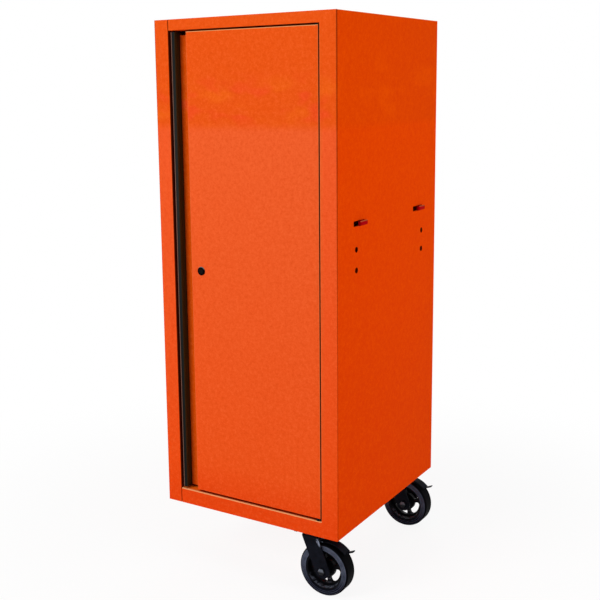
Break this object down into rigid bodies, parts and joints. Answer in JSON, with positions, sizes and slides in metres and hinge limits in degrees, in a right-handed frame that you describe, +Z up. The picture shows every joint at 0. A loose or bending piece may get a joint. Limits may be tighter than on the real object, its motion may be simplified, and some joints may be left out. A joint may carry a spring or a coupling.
{
  "type": "tool chest side locker",
  "caption": "Tall narrow steel locker with a full-height pivoting door, pull strip, lock and shelves, rolling on swivel casters under its outer side and bolted to a tool chest at the other.",
  "frame": {"origin": "middle of the body's underside, at the level of the caster plates' tops; the casters reach below it", "axes": "+Z up, +X to the right of someone facing the door (the caster side), +Y to the back"},
  "size_m": [0.5032, 0.5358, 1.3364],
  "materials": {
    "orange_paint": "fine orange-peel powder coat",
    "zinc": "zinc plated",
    "black_anodised": "black anodised extrusion",
    "black_lock": "black enamelled",
    "lock_steel": "nickel plated",
    "red_vinyl": "dipped vinyl coat",
    "black_caster": "black powder coat",
    "bright_steel": "plain steel",
    "caster_rubber": "grey-black rubber",
    "wheel_plastic": "moulded",
    "nylon": "black nylon",
    "black_oxide": "black oxide",
    "black_plastic": "moulded"
  },
  "bodies": {
    "cabinet": {"left_side_panel": "orange_paint", "right_side_panel": "orange_paint", "left_stile": "orange_paint", "right_stile": "orange_paint", "top_rail": "orange_paint", "bottom_rail": "orange_paint", "top_panel": "orange_paint", "back_panel": "orange_paint", "back_rivets": "orange_paint", "base_pan": "orange_paint", "base_channel_front": "zinc", "base_channel_rear": "zinc", "floor_panel": "orange_paint", "side_hook_front": "red_vinyl", "side_hook_rear": "red_vinyl", "shelf_standards": "zinc", "shelf_lower": "orange_paint", "shelf_middle": "orange_paint", "shelf_upper": "orange_paint", "shelf_clips": "zinc", "pivot_pins": "black_oxide", "pivot_washer": "nylon", "lock_strike": "orange_paint", "magnet_catches": "black_plastic", "caster_bolts": "zinc", "front_caster_plate": "black_caster", "front_kingpin": "black_caster", "rear_caster_plate": "black_caster", "rear_kingpin": "black_caster"},
    "door": {"door_skin": "orange_paint", "door_inner_panel": "orange_paint", "door_stiffener": "orange_paint", "door_handle": "black_anodised", "handle_screws": "zinc", "door_pivot_plates": "zinc", "pivot_bushings": "nylon", "lock_housing": "black_lock", "lock_nut": "zinc", "catch_plates": "zinc"},
    "lock": {"lock_plug": "lock_steel", "lock_cam": "zinc", "cam_screw": "zinc"},
    "front_caster_fork": {"front_fork": "black_caster", "front_axle_bolt": "black_oxide", "front_axle_nut": "black_oxide", "front_axle_sleeve": "bright_steel", "front_swivel_balls": "bright_steel", "front_brake_pin": "black_caster"},
    "front_caster_wheel": {"front_wheel_core": "wheel_plastic", "front_tyre": "caster_rubber"},
    "front_caster_brake": {"front_brake_pedal": "black_caster"},
    "rear_caster_fork": {"rear_fork": "black_caster", "rear_axle_bolt": "black_oxide", "rear_axle_nut": "black_oxide", "rear_axle_sleeve": "bright_steel", "rear_swivel_balls": "bright_steel", "rear_brake_pin": "black_caster"},
    "rear_caster_wheel": {"rear_wheel_core": "wheel_plastic", "rear_tyre": "caster_rubber"},
    "rear_caster_brake": {"rear_brake_pedal": "black_caster"}
  },
  "joints": [
    {"name": "door_hinge", "type": "hinge", "parent": "cabinet", "child": "door", "pos_m": [0.1888, -0.2597, 0.0435], "axis": [0, 0, 1], "range_deg": [0, 110]},
    {"name": "lock_turn", "type": "hinge", "parent": "door", "child": "lock", "pos_m": [-0.1237, -0.2557, 0.596], "axis": [0, -1, 0], "range_deg": [0, 90]},
    {"name": "front_swivel", "type": "hinge", "parent": "cabinet", "child": "front_caster_fork", "pos_m": [0.1579, -0.2247, -0.01], "axis": [0, 0, 1], "continuous": true},
    {"name": "front_wheel_spin", "type": "hinge", "parent": "front_caster_fork", "child": "front_caster_wheel", "pos_m": [0.1909, -0.2247, -0.0921], "axis": [0, 1, 0], "continuous": true},
    {"name": "front_brake", "type": "hinge", "parent": "front_caster_fork", "child": "front_caster_brake", "pos_m": [0.1759, -0.2247, -0.0225], "axis": [0, 1, 0], "range_deg": [0, 6]},
    {"name": "rear_swivel", "type": "hinge", "parent": "cabinet", "child": "rear_caster_fork", "pos_m": [0.1579, 0.2247, -0.01], "axis": [0, 0, 1], "continuous": true},
    {"name": "rear_wheel_spin", "type": "hinge", "parent": "rear_caster_fork", "child": "rear_caster_wheel", "pos_m": [0.1909, 0.2247, -0.0921], "axis": [0, 1, 0], "continuous": true},
    {"name": "rear_brake", "type": "hinge", "parent": "rear_caster_fork", "child": "rear_caster_brake", "pos_m": [0.1759, 0.2247, -0.0225], "axis": [0, 1, 0], "range_deg": [0, 6]}
  ]
}
